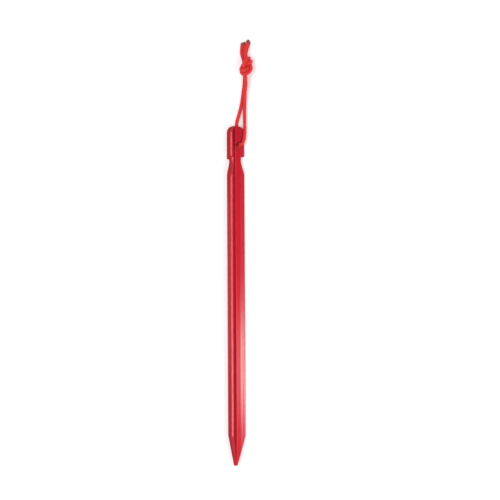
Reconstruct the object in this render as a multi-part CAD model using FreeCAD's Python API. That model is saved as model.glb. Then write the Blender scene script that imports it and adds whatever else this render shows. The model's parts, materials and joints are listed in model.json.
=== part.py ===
import FreeCAD, Part

import math
import os

from FreeCAD import Vector

# A three-bladed tent stake lying on the ground, with a pull loop of cord threaded through its head.
# Millimetres, +Z up. The stake lies along Y with its head at +Y and its point at -Y. The origin is
# under the middle of the stake, on the ground that its two lower blades rest on.

# --- the extrusion: three flat blades at 120 degrees round one hub axis ---
stake_length = 190.0
blade_reach = 5.6          # hub axis to a blade's outer edge
blade_thickness = 1.3
root_fillet = 0.4          # between two blades, along the hub
edge_round = 0.22          # on every long outer edge
right_blade_angle = -30.0  # measured from +X towards +Z
top_blade_angle = 90.0
left_blade_angle = 210.0

# --- the head, the neck cut below it for a guy line, and the point ---
head_length = 17.2         # head top to the shoulders
left_shoulder_drop = 1.1   # the left blade's shoulder is cut this much lower
head_corner = 3.6          # radius of the head's outer top corners
shoulder_corner = 0.5
neck_reach = 3.65          # hub axis to a blade's edge in the neck
neck_end = 20.6            # head top to where the blades start to widen again
flare_end = 26.4           # head top to where they reach full width
neck_corner = 0.4
flare_blend = 9.0
tip_length = 16.7          # the tapered end
tip_reach = 0.95           # hub axis to a blade's edge at the very end
tip_corner = 0.6
taper_blend = 3.0
blend_share = 0.75         # of the shorter side beside it that any of these corners may take up

# --- the cord ---
cord_diameter = 1.9
arc_share = 0.45           # of the shorter run that each arc of the tube may take
melted_length = 0.9        # of each tail's end

# --- the cord hole through the right blade ---
hole_clearance = 1.0       # so that the cord folds over the rim without being pinched
hole_diameter = cord_diameter + hole_clearance
hole_reach = 2.6           # hub axis to the hole's centre, along the blade
hole_drop = 10.5           # head top to the hole's centre
hole_flare = 0.25          # the rim opens outwards by this much, over this depth

head_top = stake_length / 2
hub_height = (
    (blade_reach - edge_round) * math.sin(math.radians(30))
    + (blade_thickness / 2 - edge_round) * math.cos(math.radians(30))
    + edge_round
)

# The cord's route, from the middle of the hole up each side of the blade to the knot. One length
# comes out on top, folds over the blade's outer edge and runs to the knot.
upper_route = [
    (2.252, 84.4, 1.982),
    (3.052, 84.4, 2.607),
    (4.42, 85.1, 2.9),
    (5.2, 86.7, 2.36),
    (5.64, 89.3, 2.02),
    (5.82, 93.0, 1.9),
    (5.74, 97.6, 1.95),
    (5.6, 103.0, 1.62),
    (5.82, 109.0, 1.8),
    (6.12, 114.4, 2.46),
    (7.0, 118.4, 3.15),
    (7.15, 122.0, 3.85),
    (7.0, 125.0, 4.1),
]
# The other length comes out underneath, runs between the two lower blades and out past the head.
lower_route = [
    (2.252, 84.4, 1.982),
    (1.58, 84.4, 1.457),
    (0.62, 85.55, 0.97),
    (0.58, 88.3, 0.97),
    (0.62, 93.0, 0.97),
    (0.72, 97.3, 0.97),
    (1.95, 101.2, 0.97),
    (3.25, 105.2, 0.97),
    (4.15, 110.0, 0.97),
    (4.8, 114.6, 1.03),
    (5.55, 118.6, 1.45),
    (5.78, 122.0, 2.05),
    (5.95, 125.0, 2.3),
]
# The two tails leave the far side of the knot and lie down to the ground.
left_tail_route = [
    (5.7, 131.6, 3.0),
    (5.25, 133.6, 2.85),
    (4.8, 135.4, 2.15),
    (4.57, 137.4, 1.45),
    (4.6, 139.4, 1.1),
    (4.88, 141.3, 1.08),
]
right_tail_route = [
    (7.5, 131.8, 3.95),
    (7.15, 134.0, 3.8),
    (6.93, 135.8, 3.3),
    (7.1, 137.7, 2.7),
    (7.52, 139.6, 2.15),
    (8.03, 142.0, 1.5),
]

# The doubled overhand knot's outer shape: the turns nearest the stake, and the bight beside them.
turns_centre = Vector(6.6, 126.7, 3.95)
turns_radius = 3.8
turns_length = 7.4
turns_round = 1.8
bight_centre = Vector(7.7, 130.4, 4.3)
bight_radius = 3.5


def unit(vector):
    return vector * (1.0 / vector.Length)


def turn_at(before, corner, after):
    """The angle by which a path turns at a corner, in radians."""
    return (corner - before).getAngle(after - corner)


def arc_round(before, corner, after, radius):
    """A tangent arc of that radius in place of a corner."""
    back = unit(before - corner)
    ahead = unit(after - corner)
    half_turn = turn_at(before, corner, after) / 2
    reach = radius * math.tan(half_turn)
    inward = unit(back + ahead)
    middle = corner + inward * (radius / math.cos(half_turn) - radius)
    return Part.Arc(corner + back * reach, middle, corner + ahead * reach).toShape()


def joined(points, radii):
    """Straight runs through the points, with an arc of the given radius at each inner point."""
    edges = []
    start = points[0]
    for before, corner, after, radius in zip(points, points[1:], points[2:], radii):
        arc = arc_round(before, corner, after, radius)
        edges.append(Part.LineSegment(start, arc.Vertexes[0].Point).toShape())
        edges.append(arc)
        start = arc.Vertexes[-1].Point
    edges.append(Part.LineSegment(start, points[-1]).toShape())
    return edges


def largest_radius(before, corner, after):
    """The largest blend that leaves the sides beside a corner of an outline long enough."""
    shorter = min((corner - before).Length, (after - corner).Length)
    return blend_share * shorter / math.tan(turn_at(before, corner, after) / 2)


def blade(angle, shoulder_drop):
    """One flat blade: its outline in the plane of the hub axis, given its thickness, edges rounded."""
    shoulder = head_top - head_length - shoulder_drop
    foot = -head_top
    corners = [
        (0, head_top, 0),
        (blade_reach, head_top, head_corner),
        (blade_reach, shoulder, shoulder_corner),
        (neck_reach, shoulder, neck_corner),
        (neck_reach, head_top - neck_end, flare_blend),
        (blade_reach, head_top - flare_end, flare_blend),
        (blade_reach, foot + tip_length, taper_blend),
        (tip_reach, foot, tip_corner),
        (0, foot, 0),
    ]
    points = [Vector(reach, along, -blade_thickness / 2) for reach, along, _ in corners]
    wanted = [radius for _, _, radius in corners[1:-1]]
    limits = [largest_radius(*points[place - 1 : place + 2]) for place in range(1, len(points) - 1)]
    edges = joined(points, [min(pair) for pair in zip(wanted, limits)])
    edges.append(Part.LineSegment(points[-1], points[0]).toShape())
    plate = Part.Face(Part.Wire(edges)).extrude(Vector(0, 0, blade_thickness))
    rim = [e for e in plate.Edges if e.BoundBox.ZLength < 1e-6 and e.CenterOfMass.x > 1e-6]
    plate = plate.makeFillet(edge_round, rim)
    plate.rotate(Vector(0, 0, 0), Vector(0, 1, 0), -angle)
    return plate


def direction(angle):
    """The unit vector square to the hub axis at that angle, from +X towards +Z."""
    return Vector(math.cos(math.radians(angle)), 0, math.sin(math.radians(angle)))


def filleted_hub():
    """The middle of the extrusion, with the concave fillet between each two blades."""
    half = blade_thickness / 2
    along_blade = (half + root_fillet) / math.tan(math.radians(60))
    fillet_middle = (half + root_fillet) / math.sin(math.radians(60)) - root_fillet
    foot = Vector(0, tip_corner - head_top, 0)
    edges = []
    for angle in (right_blade_angle, top_blade_angle, left_blade_angle):
        on_blade = foot + direction(angle) * along_blade
        on_next = foot + direction(angle + 120) * along_blade
        start = on_blade + direction(angle + 90) * half
        end = on_next + direction(angle + 30) * half
        edges.append(Part.LineSegment(on_blade - direction(angle + 90) * half, start).toShape())
        edges.append(Part.Arc(start, foot + direction(angle + 60) * fillet_middle, end).toShape())
    return Part.Face(Part.Wire(edges)).extrude(Vector(0, head_top - edge_round - foot.y, 0))


def cord_hole():
    """The drill for the cord hole, square to the right blade, with its rims flared."""
    across = direction(right_blade_angle + 90)
    centre = Vector(0, head_top - hole_drop, 0) + direction(right_blade_angle) * hole_reach
    radius = hole_diameter / 2
    half = blade_thickness / 2
    drill = Part.makeCylinder(radius, 2 * half, centre - across * half, across)
    flares = [
        Part.makeCone(radius, radius + hole_flare, hole_flare, centre + out * (half - hole_flare), out)
        for out in (across, -across)
    ]
    return drill.fuse(flares)


def stake():
    """The whole stake, lifted so that its two lower blades rest on the ground."""
    right = blade(right_blade_angle, 0.0)
    top = blade(top_blade_angle, 0.0)
    left = blade(left_blade_angle, left_shoulder_drop)
    star = right.fuse([top, left, filleted_hub()]).removeSplitter()
    body = star.cut(cord_hole())
    body.translate(Vector(0, 0, hub_height))
    return body


def tube(route, first_run_is_half=False):
    """A round tube along a route: straight runs joined by arcs as large as the runs allow."""
    points = [Vector(*p) for p in route]
    runs = [(after - before).Length for before, after in zip(points, points[1:])]
    if first_run_is_half:
        runs[0] *= 2
    radii = []
    for place in range(1, len(points) - 1):
        half_turn = turn_at(*points[place - 1 : place + 2]) / 2
        radii.append(arc_share * min(runs[place - 1 : place + 1]) / math.tan(half_turn))
    path = Part.Wire(joined(points, radii))
    section = Part.Wire(Part.makeCircle(cord_diameter / 2, points[0], points[1] - points[0]))
    solid = path.makePipeShell([section], True, False)
    expected = math.pi * cord_diameter**2 / 4 * path.Length
    print("radii", [round(r, 2) for r in radii], "volume ratio", round(solid.Volume / expected, 4))
    return solid


def knot():
    """The knot's outer shape, closed: a rounded barrel of turns with the bight bulging beside it."""
    foot = turns_centre - Vector(0, turns_length / 2, 0)
    barrel = Part.makeCylinder(turns_radius, turns_length, foot, Vector(0, 1, 0))
    rims = [e for e in barrel.Edges if e.BoundBox.YLength < 1e-6]
    barrel = barrel.makeFillet(turns_round, rims)
    return barrel.fuse(Part.makeSphere(bight_radius, bight_centre))


def sealed_tip(route):
    """The melted end of a tail: a short rounded plug in line with the tail's last run."""
    last = Vector(*route[-1])
    ahead = unit(last - Vector(*route[-2]))
    plug = Part.makeCylinder(cord_diameter / 2, melted_length, last, ahead)
    end_face = max(plug.Faces, key=lambda f: (f.CenterOfMass - last).dot(ahead))
    return plug.makeFillet(cord_diameter / 4, end_face.Edges)


def save(name, shape):
    shape.exportStep(os.path.join("parts", name + ".step"))
    box = shape.BoundBox
    print(name, "solids", len(shape.Solids), "valid", shape.isValid(), "volume", round(shape.Volume, 1))
    print("   low", [round(v, 2) for v in (box.XMin, box.YMin, box.ZMin)],
          "high", [round(v, 2) for v in (box.XMax, box.YMax, box.ZMax)])


os.makedirs("parts", exist_ok=True)
knot_body = knot()
save("stake", stake())
save("cord_upper_run", tube(upper_route, first_run_is_half=True).cut(knot_body))
save("cord_lower_run", tube(lower_route, first_run_is_half=True).cut(knot_body))
save("cord_knot", knot_body)
save("cord_left_tail", tube(left_tail_route).cut(knot_body))
save("cord_right_tail", tube(right_tail_route).cut(knot_body))
save("sealed_tips", Part.makeCompound([sealed_tip(left_tail_route), sealed_tip(right_tail_route)]))
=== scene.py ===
# %% [markdown]
# # A three-bladed tent stake with a cord pull loop
# The stake is one piece of extruded aluminium, machined at the head, neck and point and then dyed
# red by anodising. A short length of braided cord goes through a hole in its head and is closed by
# a doubled overhand knot, with two tails whose ends are melted so that they don't fray. The metal
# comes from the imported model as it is. The cord is made here, because only its real line, braid and
# knot make it look like cord.

import json
import math

import bpy
import numpy as np
from mathutils import Matrix, Vector


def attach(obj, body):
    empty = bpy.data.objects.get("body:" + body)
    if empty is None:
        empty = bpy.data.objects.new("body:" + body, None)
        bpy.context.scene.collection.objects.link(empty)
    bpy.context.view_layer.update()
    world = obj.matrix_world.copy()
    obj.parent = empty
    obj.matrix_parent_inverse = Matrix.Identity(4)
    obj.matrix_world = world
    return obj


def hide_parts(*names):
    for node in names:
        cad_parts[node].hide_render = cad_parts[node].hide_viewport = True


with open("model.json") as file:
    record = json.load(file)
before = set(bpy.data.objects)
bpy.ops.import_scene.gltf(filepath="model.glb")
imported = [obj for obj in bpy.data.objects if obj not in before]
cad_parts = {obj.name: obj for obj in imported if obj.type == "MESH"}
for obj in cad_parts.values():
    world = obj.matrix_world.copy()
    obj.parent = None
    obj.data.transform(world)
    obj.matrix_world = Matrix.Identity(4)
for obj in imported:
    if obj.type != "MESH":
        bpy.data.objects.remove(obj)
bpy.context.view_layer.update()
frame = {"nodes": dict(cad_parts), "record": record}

mm = 0.001
mounts = {mount["name"]: mount for mount in frame["record"]["mounts"]}
head_top = Vector(mounts["head_top"]["pos_m"])
hub_height = head_top.z

# %% [markdown]
# ## The camera
# The stake lies on a table and is seen from above, with the camera a little to its right, so that
# the right blade opens towards it. A long lens from most of a metre away keeps the blades parallel.
# The view's direction is one angle round the stake, and the picture's up is the stake's own axis,
# leaned by a fraction of a degree.

# %% Camera
view_angle = math.radians(16.5)      # from straight above, towards +X
view_lean = math.radians(-0.28)      # the picture turned about the view's own direction
view_distance = 0.85
view_width = 0.280                   # what the picture spans at the stake
aim_along = 25.75 * mm               # the picture's middle, along the stake
aim_right = 8.54 * mm                # and to the right of its hub

away = Vector((math.sin(view_angle), 0.0, math.cos(view_angle)))
right = Vector((math.cos(view_angle), 0.0, -math.sin(view_angle)))
up = Vector((0.0, 1.0, 0.0))
leaned_right = right * math.cos(view_lean) + up * math.sin(view_lean)
leaned_up = up * math.cos(view_lean) - right * math.sin(view_lean)
aim = Vector((0.0, aim_along, hub_height)) + right * aim_right

camera_data = bpy.data.cameras.new("camera")
camera_data.sensor_width = 36.0
camera_data.lens = camera_data.sensor_width * view_distance / view_width
camera = bpy.data.objects.new("camera", camera_data)
bpy.context.scene.collection.objects.link(camera)
camera.matrix_world = Matrix.Translation(aim + away * view_distance) @ Matrix(
    (leaned_right, leaned_up, away)
).transposed().to_4x4()
bpy.context.scene.camera = camera
print("camera at", tuple(camera.matrix_world.translation), "lens", round(camera_data.lens, 1))

# %% [markdown]
# ## The cord's route, up to the knot
# The cord passes through the hole, and its two halves go to the knot by different ways. One comes
# out on top of the right blade, folds over the blade's outer edge and runs straight on. The other
# comes out underneath, lies on the table between the two lower blades, and passes under the head.
# The two meet in the middle of the hole. A route is a short list of given points, and a
# smooth spline is drawn through them later, so no corner shows.

# %% Given points, in metres
upper_route = [
    (0.002252, 0.08440, 0.001982),
    (0.00290, 0.08440, 0.00278),
    (0.00445, 0.08520, 0.00286),
    (0.00524, 0.08680, 0.00235),
    (0.00564, 0.08930, 0.00202),
    (0.00582, 0.09300, 0.00190),
    (0.00574, 0.09760, 0.00195),
    (0.00560, 0.10300, 0.00162),
    (0.00582, 0.10900, 0.00180),
    (0.00612, 0.11440, 0.00246),
    (0.00700, 0.11840, 0.00315),
]
lower_route = [
    (0.002252, 0.08440, 0.001982),
    (0.00160, 0.08440, 0.00118),
    (0.00064, 0.08570, 0.00097),
    (0.00059, 0.08840, 0.00097),
    (0.00062, 0.09300, 0.00097),
    (0.00072, 0.09730, 0.00097),
    (0.00195, 0.10120, 0.00097),
    (0.00325, 0.10520, 0.00097),
    (0.00415, 0.11000, 0.00097),
    (0.00480, 0.11460, 0.00103),
    (0.00555, 0.11860, 0.00145),
]
left_tail_route = [
    (0.00490, 0.13490, 0.00235),
    (0.00460, 0.13690, 0.00160),
    (0.00458, 0.13920, 0.00112),
    (0.00488, 0.14130, 0.00108),
]
right_tail_route = [
    (0.00693, 0.13580, 0.00330),
    (0.00710, 0.13770, 0.00270),
    (0.00752, 0.13960, 0.00215),
    (0.00803, 0.14200, 0.00150),
]
cord_diameter = 1.9 * mm

# %% [markdown]
# ## The knot
# A doubled overhand knot is two lengths of cord, side by side, tied together in one overhand knot.
# Its turns could be placed by hand, but a knot drawn tight has a shape that only the cord's own
# thickness decides, so this knot is tied loosely by a formula and then pulled. The loose form is an
# open trefoil, which is an overhand knot when its two ends lead away. The two lengths are the same
# curve moved half a diameter to each side. Everything here is counted in cord diameters.

# %% A loose doubled overhand knot, as two strings of beads
beads = 200
bead_gap = 0.326                     # between beads in a string, in diameters
trefoil_size = 1.58
trefoil_opening = 0.6                # radians of the trefoil left open for the two ends
trefoil_points = 600
loose_points = 800                   # in the loose knot with its leads
corner_rounds = 60                   # times that the corners where the leads join are smoothed
half_spacing = 0.575                 # from the knot's own line to either of its two lengths
lead_out = np.array([(9.0, -3.2), (5.0, -3.2), (3.2, -3.1), (2.1, -2.7), (1.5, -2.1)])


def evenly(points, count):
    """The same line with that many points, evenly spaced along it."""
    steps = np.linalg.norm(np.diff(points, axis=0), axis=1)
    along = np.concatenate([[0.0], np.cumsum(steps)])
    wanted = np.linspace(0.0, along[-1], count)
    return np.stack([np.interp(wanted, along, points[:, k]) for k in range(3)], axis=1)


def loose_knot():
    """The two strings, whose ends lead out to -X and +X."""
    turn = np.linspace(math.pi + trefoil_opening, 3 * math.pi - trefoil_opening, trefoil_points)
    trefoil = np.stack(
        [
            np.sin(turn) + 2 * np.sin(2 * turn),
            np.cos(turn) - 2 * np.cos(2 * turn),
            -np.sin(3 * turn),
        ],
        axis=1,
    )
    first_lead = np.column_stack([lead_out, np.zeros(len(lead_out))])
    last_lead = (first_lead * (-1, 1, 1))[::-1]
    whole_line = np.concatenate([first_lead, trefoil, last_lead]) * trefoil_size
    line = evenly(whole_line, loose_points)
    for _ in range(corner_rounds):
        line[1:-1] += 0.25 * (line[2:] + line[:-2] - 2 * line[1:-1])
    heading = np.gradient(line, axis=0)
    sideways = np.stack([-heading[:, 1], heading[:, 0], np.zeros(len(line))], axis=1)
    sideways /= np.linalg.norm(sideways, axis=1)[:, None]
    return [evenly(line + sideways * side * half_spacing, beads) for side in (1, -1)]


# %% [markdown]
# Pulling it tight is a small simulation of its own. Every bead is moved until three rules hold: no
# two beads that aren't neighbours come nearer than one diameter, the cord never bends more sharply
# than its thickness lets it, and each bead stays the same distance from the next. The four ends are
# pulled a little further apart each time. Nothing in it is random, so the knot is always the same.

# %% Drawing the knot tight
tightest_bend = 0.58                 # radius, in diameters
pull = 0.063                         # how far an end is pulled each time
drawing_steps = 5000
rounds_in_a_step = 4
search_every = 10                    # steps between two searches for beads that are near each other
search_reach = 1.6                   # how near they are then, in diameters
no_contact = 1.55                    # beads nearer than this along one string never touch
centring = 0.01                      # share by which an end returns to the knot's line, each time
levelling = 0.02                     # and to the knot's own plane
over_push = 1.2                      # a little more than enough, which settles the beads sooner


def pull_ends(strings):
    """Moves the four ends outwards, and slowly towards the knot's own line."""
    for number, first in enumerate((0, beads)):
        last = first + beads - 1
        outwards = 1.0 if strings[first, 0] > 0 else -1.0
        strings[first, 0] += outwards * pull
        strings[last, 0] -= outwards * pull
        beside = 0.5 - number
        for end in (first, last):
            strings[end, 1] += (beside - strings[end, 1]) * centring
            strings[end, 2] -= strings[end, 2] * levelling


def push_apart(strings, one, other):
    """Moves beads that lie in each other out to one diameter."""
    between = strings[one] - strings[other]
    far = np.sqrt((between * between).sum(1))
    deep = 1.0 - far
    hit = deep > 0
    one, other = one[hit], other[hit]
    push = between[hit] / np.maximum(far[hit], 1e-6)[:, None] * (0.5 * deep[hit])[:, None]
    moved = np.zeros_like(strings)
    count = np.zeros(len(strings))
    np.add.at(moved, one, push)
    np.add.at(moved, other, -push)
    np.add.at(count, one, 1)
    np.add.at(count, other, 1)
    strings += moved / np.maximum(count, 1)[:, None] * over_push


def open_bends(string):
    """Moves the beads two apart away from each other where the string bends too sharply."""
    least = 2 * tightest_bend * math.sin(bead_gap / tightest_bend)
    across = string[2:] - string[:-2]
    far = np.linalg.norm(across, axis=1)
    push = across * (np.maximum(least - far, 0) / np.maximum(far, 1e-9) * 0.25)[:, None]
    string[2:] += push
    string[:-2] -= push


def keep_lengths(string):
    """Brings neighbouring beads back to the bead gap, every other pair at a time."""
    for parity in (0, 1):
        here = np.arange(parity, beads - 1, 2)
        step = string[here + 1] - string[here]
        far = np.linalg.norm(step, axis=1)
        half = step * ((far - bead_gap) / np.maximum(far, 1e-9) * 0.5)[:, None]
        string[here] += half
        string[here + 1] -= half


def drawn_tight(pair):
    """The two strings after the ends have been pulled, as one array of both."""
    strings = np.concatenate(pair)
    one, other = np.triu_indices(2 * beads, 1)
    neighbours = math.ceil(no_contact / bead_gap)
    same_string = (one < beads) == (other < beads)
    apart = ~(same_string & (other - one <= neighbours))
    one, other = one[apart], other[apart]
    for step in range(drawing_steps):
        pull_ends(strings)
        if step % search_every == 0:
            near = ((strings[one] - strings[other]) ** 2).sum(1) < search_reach**2
        for _ in range(rounds_in_a_step):
            push_apart(strings, one[near], other[near])
            for string in (strings[:beads], strings[beads:]):
                open_bends(string)
                keep_lengths(string)
            pull_ends(strings)
    return strings


tight = drawn_tight(loose_knot())
print("knot's ends reach", tight.min(0).round(2), tight.max(0).round(2), "diameters")

# %% [markdown]
# The tight knot is then turned so that its line lies along the stake's, and rolled until its two
# turns lie low on the left and its bight stands out at the upper right. It is set down where its
# lowest turn touches the table. Of its beads, only those in the knot itself are used, and every
# second one is enough for a smooth spline.

# %% Setting the knot in its place
knot_roll = math.radians(43.5)
knot_middle = np.array((4.01 * mm, 128.3 * mm, 0.0))
knot_cord = 2.05 * mm                # the cord isn't stretched thin inside the knot
knot_length = 1.09                   # and its turns stand a little apart along the knot
knot_reach = 5.8 * mm                # half the length that the beads give to the route
bead_step = 2


def in_place(string):
    """One string in metres, in the object's frame, running from the stake to the tail."""
    along = string[:, 0] * knot_cord * knot_length
    across = string[:, 1] * knot_cord
    height = string[:, 2] * knot_cord
    x = across * math.cos(knot_roll) - height * math.sin(knot_roll)
    z = across * math.sin(knot_roll) + height * math.cos(knot_roll)
    placed = np.stack([x, along, z], axis=1)
    return placed if placed[0, 1] < placed[-1, 1] else placed[::-1]


def knotted_part(string):
    """The beads from where the string enters the knot to where it leaves."""
    inside = np.flatnonzero(np.abs(string[:, 1]) < knot_reach)
    return string[inside[0] : inside[-1] + 1 : bead_step]


knotted = [knotted_part(in_place(string)) for string in (tight[:beads], tight[beads:])]
lowest = min(part[:, 2].min() for part in knotted)
knot_middle[2] = knot_cord / 2 - lowest
lower_turns, upper_turns = [part + knot_middle for part in knotted]
for turns in (lower_turns, upper_turns):
    print("turns", len(turns), "from", (turns[0] / mm).round(2), "to", (turns[-1] / mm).round(2))
    print("   box", (turns.min(0) / mm).round(2), (turns.max(0) / mm).round(2))

# %% [markdown]
# ## The cord as a tube
# Each half of the cord is one NURBS spline through its route, its turns in the knot and its tail.
# Blender could give that curve a round bevel, but this cord isn't round everywhere: it is braided
# with no core, so it is round where it is pulled and collapses into a flat lace in the tails. So
# the spline's own points are read, and a ring is put round each of them, wide and thin in the
# tails, with the braid's ridges raised on it.

# %% A smooth line through a route
steps_between_points = 14


def smooth_line(name, points):
    """The points of a NURBS spline of order 3 that has these points as its control points."""
    curve = bpy.data.curves.new(name, "CURVE")
    curve.dimensions = "3D"
    curve.resolution_u = steps_between_points
    spline = curve.splines.new("NURBS")
    spline.points.add(len(points) - 1)
    for point, place in zip(spline.points, points):
        point.co = (*place, 1.0)
    spline.order_u = 3
    spline.use_endpoint_u = True
    bare = bpy.data.objects.new(name, curve)
    mesh = bpy.data.meshes.new_from_object(bare)
    line = np.array([vertex.co for vertex in mesh.vertices], float)
    bpy.data.objects.remove(bare)
    bpy.data.meshes.remove(mesh)
    bpy.data.curves.remove(curve)
    gaps = np.linalg.norm(np.diff(line, axis=0), axis=1)
    return line[np.concatenate([[True], gaps > 1e-7])]


def distances(line):
    """How far along the line each of its points is."""
    return np.concatenate([[0.0], np.cumsum(np.linalg.norm(np.diff(line, axis=0), axis=1))])


def untwisted(line, last_sideways):
    """Two directions square to the line at each point, which turn with it and never spin."""
    heading = np.gradient(line, axis=0)
    heading /= np.linalg.norm(heading, axis=1)[:, None]
    sideways = np.zeros_like(line)
    current = np.array(last_sideways, float)
    for k in range(len(line) - 1, -1, -1):
        current = current - heading[k] * (current @ heading[k])
        current /= np.linalg.norm(current)
        sideways[k] = current
    return sideways, np.cross(heading, sideways)


# %% [markdown]
# The braid has eight yarns winding each way. On the cord's own surface, one family of yarns runs
# where round + along is constant and the other where round - along is, so two rising numbers tell
# which yarns cross at any place, and the one on top changes from crossing to crossing. The same two
# numbers shape the ridges here and colour the yarns later.

# %% Rings, ridges and ends
yarns = 8
braid_lay = 7.6 * mm                 # along the cord, for one turn of a yarn
ridge = 0.06 * mm
swell_over = 1.5 * mm                # the length over which the cord thickens into the knot
ring_corners = 64
lace_thickness = 1.25 * mm
groove = 0.38                        # how much thinner the flat lace is down its middle
groove_width = 0.3                   # as a share of the lace's half width
lace_corners = 0.8                   # under 1 fills out the flat lace's corners
yarn_roundness = 0.7                 # under 1 makes a yarn's top broad and its sides steep
flattening = 6.0 * mm                # the length over which the round cord turns into lace


def braid_relief(round_share, along_share):
    """How high the yarns stand, from 0 between them to 1 on the middle of one."""
    one_way = (yarns * (round_share + along_share)) % 1.0
    other_way = (yarns * (round_share - along_share)) % 1.0
    one_height = np.sin(math.pi * one_way) ** yarn_roundness
    return one_height * np.sin(math.pi * other_way) ** yarn_roundness


def cord_tube(name, line, last_sideways, flat_length, flat_width):
    """A closed braided tube along the line, flattened over its last stretch, with its UV map."""
    along = distances(line)
    sideways, upwards = untwisted(line, last_sideways)
    flat = np.clip((along - (along[-1] - flat_length)) / flattening, 0, 1)
    flat = (flat * flat * (3 - 2 * flat))[:, None]
    turn = np.arange(ring_corners) / ring_corners
    angle = 2 * math.pi * turn[None, :]
    from_knot = np.abs(line[:, 1] - knot_middle[1])
    swollen = np.clip((knot_reach - from_knot) / swell_over, 0, 1)[:, None]
    radius = (cord_diameter + (knot_cord - cord_diameter) * swollen) / 2
    round_x = np.cos(angle) * radius
    round_y = np.sin(angle) * radius
    across = np.cos(angle)
    dip = 1 - groove * np.exp(-((across / groove_width) ** 2))
    flat_x = across * flat_width / 2
    rounding = np.sign(np.sin(angle)) * np.abs(np.sin(angle)) ** lace_corners
    flat_y = rounding * lace_thickness / 2 * dip
    x = round_x * (1 - flat) + flat_x * flat
    y = round_y * (1 - flat) + flat_y * flat
    lift = ridge * (braid_relief(turn[None, :], along[:, None] / braid_lay) - 0.5)
    reach = np.sqrt(x * x + y * y)
    x *= 1 + lift / reach
    y *= 1 + lift / reach
    rings = (
        line[:, None, :]
        + x[:, :, None] * sideways[:, None, :]
        + y[:, :, None] * upwards[:, None, :]
    )
    corners = np.concatenate([rings.reshape(-1, 3), line[:1], line[-1:]])

    rows, columns = np.meshgrid(np.arange(len(line) - 1), np.arange(ring_corners), indexing="ij")
    following = (columns + 1) % ring_corners
    sides = np.stack(
        [
            rows * ring_corners + columns,
            rows * ring_corners + following,
            (rows + 1) * ring_corners + following,
            (rows + 1) * ring_corners + columns,
        ],
        axis=-1,
    ).reshape(-1, 4)
    start_middle = len(line) * ring_corners
    last_ring = (len(line) - 1) * ring_corners
    faces = sides.tolist()
    for k in range(ring_corners):
        after = (k + 1) % ring_corners
        faces.append([start_middle, after, k])
        faces.append([start_middle + 1, last_ring + k, last_ring + after])

    mesh = bpy.data.meshes.new(name)
    mesh.from_pydata(corners.tolist(), [], faces)
    layer = mesh.uv_layers.new(name="braid")
    left = turn[columns]
    right_side = left + 1 / ring_corners
    low = along[rows] / braid_lay
    high = along[rows + 1] / braid_lay
    side_uv = np.stack([left, low, right_side, low, right_side, high, left, high], axis=-1).ravel()
    cap_uv = np.zeros(2 * ring_corners * 3 * 2)
    layer.data.foreach_set("uv", np.concatenate([side_uv, cap_uv]).astype(np.float32))
    mesh.shade_smooth()
    tube = bpy.data.objects.new(name, mesh)
    bpy.context.scene.collection.objects.link(tube)
    print(name, "length", round(along[-1] / mm, 1), "mm,", len(mesh.polygons), "faces")
    return tube


# %% The two halves of the cord
upper_points = upper_route + upper_turns.tolist() + right_tail_route
lower_points = lower_route + lower_turns.tolist() + left_tail_route
upper_line = smooth_line("upper_line", upper_points)
lower_line = smooth_line("lower_line", lower_points)

right_lace = (1.0, 0.0, -1.0)        # the way in which a flat tail is wide
left_lace = (1.0, 0.0, 0.0)
upper_cord = cord_tube(
    "cord_upper", upper_line, right_lace, flat_length=9.5 * mm, flat_width=2.6 * mm
)
lower_cord = cord_tube(
    "cord_lower", lower_line, left_lace, flat_length=10.5 * mm, flat_width=3.0 * mm
)

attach(upper_cord, "root")
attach(lower_cord, "root")
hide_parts("cord_upper_run", "cord_knot", "cord_right_tail")
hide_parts("cord_lower_run", "cord_left_tail")

# %% [markdown]
# ## The melted ends
# A cut braid frays, so each end is held in a flame until the yarns melt into one hard bead. The
# bead is as wide as the flat lace, a little swollen, and cut at a slant where the hot knife went
# through. It is a sphere squeezed to the lace's section, cut by a plane, and rounded again.

# %% Two melted ends
cut_at = 0.55                        # where the bead is cut, as a share of its half length
rounded_by = 0.16 * mm


def melted_end(name, line, sideways, width, thickness, length, cut_normal):
    """A bead over the end of a tail, lying along the tail's last stretch."""
    bpy.ops.object.select_all(action="DESELECT")
    bpy.ops.mesh.primitive_uv_sphere_add(segments=48, ring_count=24, radius=1.0)
    bead = bpy.context.object
    bead.name = name
    bpy.ops.object.mode_set(mode="EDIT")
    bpy.ops.mesh.select_all(action="SELECT")
    bpy.ops.transform.resize(value=(width / 2, length, thickness / 2))
    bpy.ops.mesh.select_all(action="SELECT")
    bpy.ops.mesh.bisect(
        plane_co=(0, cut_at * length, 0), plane_no=cut_normal, use_fill=True, clear_outer=True
    )
    bpy.ops.mesh.select_all(action="SELECT")
    bpy.ops.mesh.normals_make_consistent(inside=False)
    bpy.ops.object.mode_set(mode="OBJECT")
    rounded = bead.modifiers.new("rounded", "BEVEL")
    rounded.width = rounded_by
    rounded.segments = 4
    rounded.limit_method = "ANGLE"
    rounded.angle_limit = math.radians(35)
    bpy.ops.object.modifier_apply(modifier=rounded.name)
    ahead = Vector(line[-1] - line[-8]).normalized()
    across = (Vector(sideways) - ahead * ahead.dot(Vector(sideways))).normalized()
    frame_here = Matrix((across, ahead, across.cross(ahead))).transposed().to_4x4()
    bead.matrix_world = Matrix.Translation(line[-1]) @ frame_here
    bpy.ops.object.transform_apply(location=True, rotation=True, scale=True)
    bpy.ops.object.shade_smooth_by_angle(angle=math.radians(50))
    print(name, "faces", len(bead.data.polygons))
    return bead


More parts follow.
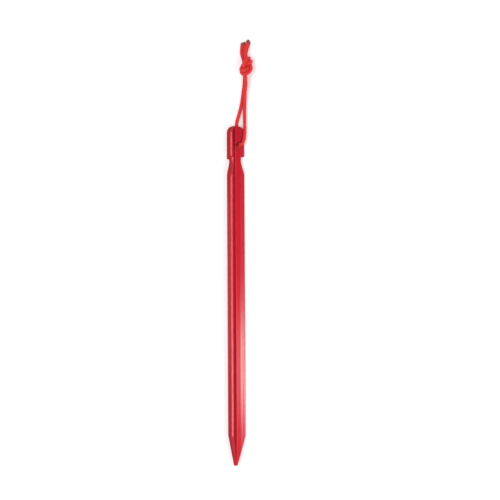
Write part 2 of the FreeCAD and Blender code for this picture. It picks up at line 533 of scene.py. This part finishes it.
left_end = melted_end(
    "melted_end_left", lower_line, left_lace,
    width=3.15 * mm, thickness=1.55 * mm, length=1.3 * mm, cut_normal=(-0.5, 1, 0),
)
right_end = melted_end(
    "melted_end_right", upper_line, right_lace,
    width=2.8 * mm, thickness=1.8 * mm, length=1.7 * mm, cut_normal=(0.9, 1, 0.1),
)
for end, cord in ((left_end, lower_cord), (right_end, upper_cord)):
    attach(end, "root")
    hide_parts("sealed_tips")

# %% [markdown]
# ## Finishes
# Every surface gets its colour and its small relief from nodes. A formula is easier to read as one
# line of arithmetic than as a web of boxes, so an output of a node is wrapped in a small class
# whose plus and times make the Math nodes.

# %% Shader arithmetic
class Wire:
    """The output of a node in a finish. Arithmetic on it adds Math nodes."""

    def __init__(self, finish, socket):
        self.finish = finish
        self.socket = socket

    def maths(self, operation, *values):
        settings = {"operation": operation}
        return self.finish.node("ShaderNodeMath", settings, dict(enumerate(values)))

    def __add__(self, other):
        return self.maths("ADD", self, other)

    def __sub__(self, other):
        return self.maths("SUBTRACT", self, other)

    def __rsub__(self, other):
        return self.maths("SUBTRACT", other, self)

    def __mul__(self, other):
        return self.maths("MULTIPLY", self, other)

    def __truediv__(self, other):
        return self.maths("DIVIDE", self, other)

    def __pow__(self, other):
        return self.maths("POWER", self, other)

    __radd__ = __add__
    __rmul__ = __mul__


class Finish:
    """A material made of a Principled surface and the nodes that feed it."""

    def __init__(self, name):
        self.material = bpy.data.materials.new(name)
        self.material.use_nodes = True
        self.tree = self.material.node_tree
        self.principled = self.tree.nodes["Principled BSDF"]

    def node(self, kind, settings=None, inputs=None, output=0):
        """Adds a node: first its settings, then the values or links of its sockets."""
        added = self.tree.nodes.new(kind)
        for name, value in (settings or {}).items():
            setattr(added, name, value)
        for name, value in (inputs or {}).items():
            self.join(added.inputs[name], value)
        return Wire(self, added.outputs[output])

    def join(self, socket, value):
        """Links a wire to a socket, or sets the socket to a plain value."""
        if isinstance(value, Wire):
            self.tree.links.new(value.socket, socket)
        else:
            socket.default_value = value

    def surface(self, **inputs):
        """Sets the Principled surface's sockets by name, with _ for a space."""
        for name, value in inputs.items():
            title = name.replace("_", " ").title().replace("Ior", "IOR")
            self.join(self.principled.inputs[title], value)

    def noise(self, place, scale, detail=2.0, roughness=0.5):
        """Fractal noise from 0 to 1."""
        return self.node(
            "ShaderNodeTexNoise",
            {"noise_dimensions": "3D"},
            {"Vector": place, "Scale": scale, "Detail": detail, "Roughness": roughness},
        )

    def between(self, value, low, high):
        """0 below low, 1 above high, and smooth in between."""
        return self.node(
            "ShaderNodeMapRange",
            {"interpolation_type": "SMOOTHSTEP"},
            {"Value": value, "From Min": low, "From Max": high},
        )

    def function(self, operation, value):
        """A Math node of one value, such as its absolute value or its sine."""
        return self.node("ShaderNodeMath", {"operation": operation}, {0: value})

    def blend(self, share, one, other):
        """One colour turning into the other as the share goes from 0 to 1."""
        mixed = self.node("ShaderNodeMix", {"data_type": "RGBA"}, {"Factor": share}, output=2)
        for place, colour in ((6, one), (7, other)):
            value = colour if isinstance(colour, Wire) else (*colour, 1.0)
            self.join(mixed.socket.node.inputs[place], value)
        return mixed

    def bumps(self, height, distance, strength=1.0):
        """A normal from a height that runs from 0 to 1 over that distance in metres."""
        return self.node(
            "ShaderNodeBump", None, {"Height": height, "Distance": distance, "Strength": strength}
        )

    def where(self, scale=(1, 1, 1)):
        """The place on the object in metres, stretched along its axes."""
        coordinates = self.node("ShaderNodeTexCoord", output=3)
        return self.node("ShaderNodeMapping", None, {"Vector": coordinates, "Scale": scale})


# %% [markdown]
# ## Red anodised aluminium
# The blade faces keep the long fine lines that the extrusion die drew along them. Anodising grows
# a clear oxide skin full of red dye on the metal. So the surface is a red metal, rather rough, under
# a thin smoother clear coat, and the coat gives the pale sheen. The lines are noise stretched along
# the stake. The edges, which face away from the stake's own axis, are painted lighter: partly a
# thinner dye, partly a painted highlight on the rounded rims. The share of the surface's normal
# that points away from the axis finds them.

# %% Anodised finish
die_mark_reach = 3.25 * mm           # from the hub to the darker line along each blade
coat_grows = (2.5 * mm, 3.4 * mm)    # the reach over which the clear coat gets thicker
deep_dye = (0.39, 0.0074, 0.0185)
bright_dye = (0.47, 0.0104, 0.0238)
line_dye = (0.51, 0.0157, 0.0287)
mark_dye = (0.31, 0.0060, 0.0140)
# lighter edge colour: partly thinner dye, partly a painted highlight on the rounded rims
thin_dye_and_rim_highlight = (0.64, 0.0560, 0.0700)
line_depth = 0.035 * mm


def anodised():
    finish = Finish("anodised_red")
    place = finish.where()
    beside_hub = finish.node("ShaderNodeSeparateXYZ", None, {0: place}, output=0)
    above_hub = finish.node("ShaderNodeSeparateXYZ", None, {0: place}, output=2) - hub_height
    reach = (beside_hub * beside_hub + above_hub * above_hub) ** 0.5
    outward = finish.node(
        "ShaderNodeCombineXYZ", None, {0: beside_hub / reach, 2: above_hub / reach}
    )
    normal = finish.node("ShaderNodeNewGeometry", output=1)
    facing_out = finish.node(
        "ShaderNodeVectorMath", {"operation": "DOT_PRODUCT"}, {0: outward, 1: normal}, output=1
    )
    edge = finish.between(facing_out, 0.35, 0.95)

    wide_lines = finish.noise(finish.where((1800, 9, 1800)), 1.0, 3.0, 0.6)
    fine_lines = finish.noise(finish.where((9000, 45, 9000)), 1.0, 2.0, 0.7)
    clouds = finish.noise(place, 160.0, 4.0, 0.55)
    grain = finish.noise(place, 5200.0, 2.0, 0.6)
    from_mark = finish.function("ABSOLUTE", reach - die_mark_reach)
    broken = finish.between(finish.noise(finish.where((300, 14, 300)), 1.0), 0.35, 0.6)
    die_mark = (1 - finish.between(from_mark, 0.05 * mm, 0.32 * mm)) * broken

    outer = finish.between(reach, *coat_grows)
    streaks = finish.between(0.7 * wide_lines + 0.3 * fine_lines, 0.36, 0.62)

    dye = finish.blend(clouds, deep_dye, bright_dye)
    dye = finish.blend(0.6 * wide_lines, dye, line_dye)
    dye = finish.blend(0.5 * die_mark, dye, mark_dye)
    # the edges are painted lighter: partly thinner dye, partly a painted rim highlight
    dye = finish.blend(edge * (0.2 + 0.4 * clouds), dye, thin_dye_and_rim_highlight)
    lines = 0.55 * wide_lines + 0.3 * fine_lines + 0.15 * grain - 0.3 * die_mark
    finish.surface(
        base_color=dye,
        metallic=1.0,
        roughness=0.54 + 0.14 * fine_lines - 0.08 * edge,
        coat_weight=0.10 + outer * (0.12 + 0.30 * streaks),
        coat_roughness=0.17,
        coat_ior=1.5,
        normal=finish.bumps(lines, line_depth, 0.9),
    )
    return finish.material


stake = frame["nodes"]["stake"]
stake.data.materials.clear()
stake.data.materials.append(anodised())
print("stake finish", len(stake.data.materials[0].node_tree.nodes), "nodes")

# %% [markdown]
# ## Braided cord
# The yarns of a braid lie in bundles that cross over and under each other. The cord's UV map counts
# turns round it and turns of lay along it, so the two yarn families are the whole numbers of
# eight times their sum and eight times their difference. Where the two whole numbers add up to an
# odd number the first family is on top. Each bundle is a few filaments, drawn as finer lines along
# the bundle on top. Painted shade darkens the gaps where a bundle dives under its neighbours and the
# grooves between filaments, and specks of the filaments are painted lighter as painted glints, where
# the nylon shines.

# %% Cord finish
deep_yarn = (0.66, 0.0120, 0.0165)
bright_yarn = (0.80, 0.0190, 0.0230)
# painted shade in the gaps between bundles and in the grooves between filaments
yarn_gap_shade = (0.30, 0.0045, 0.0070)
filament_gap_shade = (0.42, 0.0060, 0.0090)
# colour of the painted glints on specks of the filaments
filament_glint = (0.98, 0.20, 0.17)
sheen_colour = (1.0, 0.5, 0.45, 1.0)
filaments_in_bundle = 5
bundle_height = 0.10 * mm


def braided():
    finish = Finish("cord_red")
    uv = finish.node("ShaderNodeUVMap", {"uv_map": "braid"})
    around = finish.node("ShaderNodeSeparateXYZ", None, {0: uv}, output=0)
    along = finish.node("ShaderNodeSeparateXYZ", None, {0: uv}, output=1)
    place = finish.where()
    one_way = (around + along) * yarns
    other_way = (around - along) * yarns

    def hump(count):
        """0 where the count is a whole number, at a bundle's sides, and 1 halfway."""
        return finish.function("SINE", finish.function("FRACT", count) * math.pi)

    def bundle(own_count, crossing_count):
        """The height of a bundle that dives under its neighbours at both ends of the cell."""
        return (hump(own_count) ** 0.55) * (0.35 + 0.65 * hump(crossing_count))

    def woven(first, second):
        """The first value where the first family is on top, and the second elsewhere."""
        return first * first_on_top + second * (1 - first_on_top)

    counted = finish.function("FLOOR", one_way) + finish.function("FLOOR", other_way)
    first_on_top = counted.maths("PINGPONG", counted, 1.0)
    height = woven(bundle(one_way, other_way), bundle(other_way, one_way))
    filaments = woven(
        hump(filaments_in_bundle * one_way), hump(filaments_in_bundle * other_way)
    )

    # where the painted glints go
    glint_speck = finish.between(finish.noise(place, 3400.0, 2.0, 0.7), 0.50, 0.72)
    clouds = finish.noise(place, 420.0, 3.0, 0.6)
    red = finish.blend(clouds, deep_yarn, bright_yarn)
    # painted shade where a bundle dives under its neighbours
    red = finish.blend(1 - finish.between(height, 0.05, 0.50), red, yarn_gap_shade)
    # painted shade in the grooves between filaments
    red = finish.blend(0.35 * (1 - filaments) * height, red, filament_gap_shade)
    # painted glints on specks of the filaments
    red = finish.blend(0.55 * glint_speck * filaments * height, red, filament_glint)
    finish.surface(
        base_color=red,
        roughness=0.66 - 0.16 * height * filaments,
        specular_ior_level=0.35,
        sheen_weight=0.12,
        sheen_roughness=0.4,
        sheen_tint=sheen_colour,
        normal=finish.bumps(0.72 * height + 0.28 * filaments, bundle_height, 0.9),
    )
    return finish.material


# %% [markdown]
# The melted ends are darker than the cord and shiny like cooled plastic, with soft lumps and
# patches that the flame has scorched.

# %% Melted finish
deep_melt = (0.20, 0.020, 0.020)
bright_melt = (0.38, 0.032, 0.034)
scorched = (0.055, 0.018, 0.014)
lump_height = 0.16 * mm


def melted():
    finish = Finish("melted_cord")
    place = finish.where()
    lumps = finish.noise(place, 900.0, 3.0, 0.55)
    scorch = finish.between(finish.noise(place, 1500.0, 4.0, 0.65), 0.40, 0.66)
    colour = finish.blend(lumps, deep_melt, bright_melt)
    colour = finish.blend(0.75 * scorch, colour, scorched)
    finish.surface(
        base_color=colour,
        roughness=0.34 + 0.2 * scorch,
        normal=finish.bumps(lumps, lump_height, 0.7),
    )
    return finish.material


cord_finish = braided()
melted_finish = melted()
for piece, material in (
    (upper_cord, cord_finish), (lower_cord, cord_finish),
    (left_end, melted_finish), (right_end, melted_finish),
):
    piece.data.materials.clear()
    piece.data.materials.append(material)
    print(piece.name, "has", material.name, "of", len(material.node_tree.nodes), "nodes")

# %% [markdown]
# ## The table and the light
# The object lies on a plain pale table in a white room. The table glows faintly, which keeps the
# shadows on it light. Metal shows what is round it, so each face of the stake needs something soft
# to mirror. A small bright panel on the right stands where the right blade mirrors it over its
# lower half. A long dim one above lights the near blade's rim, and a faint one low on the left
# does the same for the far blade.

# %% Table and panels
table_side = 3.0
table_glow = 0.09
room_brightness = 0.80


def table():
    bpy.ops.object.select_all(action="DESELECT")
    bpy.ops.mesh.primitive_plane_add(size=table_side, location=(0, 0, 0))
    floor = bpy.context.object
    floor.name = "table"
    finish = Finish("pale_table")
    faint = finish.noise(finish.where(), 9.0, 3.0, 0.5)
    finish.surface(
        base_color=finish.blend(faint, (0.90, 0.90, 0.90), (0.94, 0.94, 0.94)),
        roughness=0.9,
        specular_ior_level=0.1,
        emission_color=(1.0, 1.0, 1.0, 1.0),
        emission_strength=table_glow,
    )
    floor.data.materials.append(finish.material)


def panel(name, place, towards, size, brightness):
    """A soft rectangular light that gives that brightness over its face."""
    data = bpy.data.lights.new(name, "AREA")
    data.shape = "RECTANGLE"
    data.size, data.size_y = size
    data.energy = brightness * math.pi * size[0] * size[1]
    light = bpy.data.objects.new(name, data)
    bpy.context.scene.collection.objects.link(light)
    light.location = place
    light.rotation_mode = "QUATERNION"
    light.rotation_quaternion = (Vector(place) - Vector(towards)).to_track_quat("Z", "Y")
    print(name, "gives", round(data.energy, 2), "watts")


table()
panel("right_panel", (0.413, -0.088, 0.438), (0.0, -0.060, 0.003), (0.085, 0.19), 26.0)
panel("top_panel", (-0.256, -0.010, 0.866), (0.0, -0.010, 0.003), (0.42, 0.20), 7.0)
panel("left_panel", (-0.550, -0.010, 0.160), (0.0, -0.010, 0.003), (0.16, 0.24), 1.25)

world = bpy.data.worlds.new("studio")
world.use_nodes = True
background = world.node_tree.nodes["Background"]
background.inputs["Color"].default_value = (1, 1, 1, 1)
background.inputs["Strength"].default_value = room_brightness
bpy.context.scene.world = world
bpy.context.scene.view_settings.view_transform = "Standard"
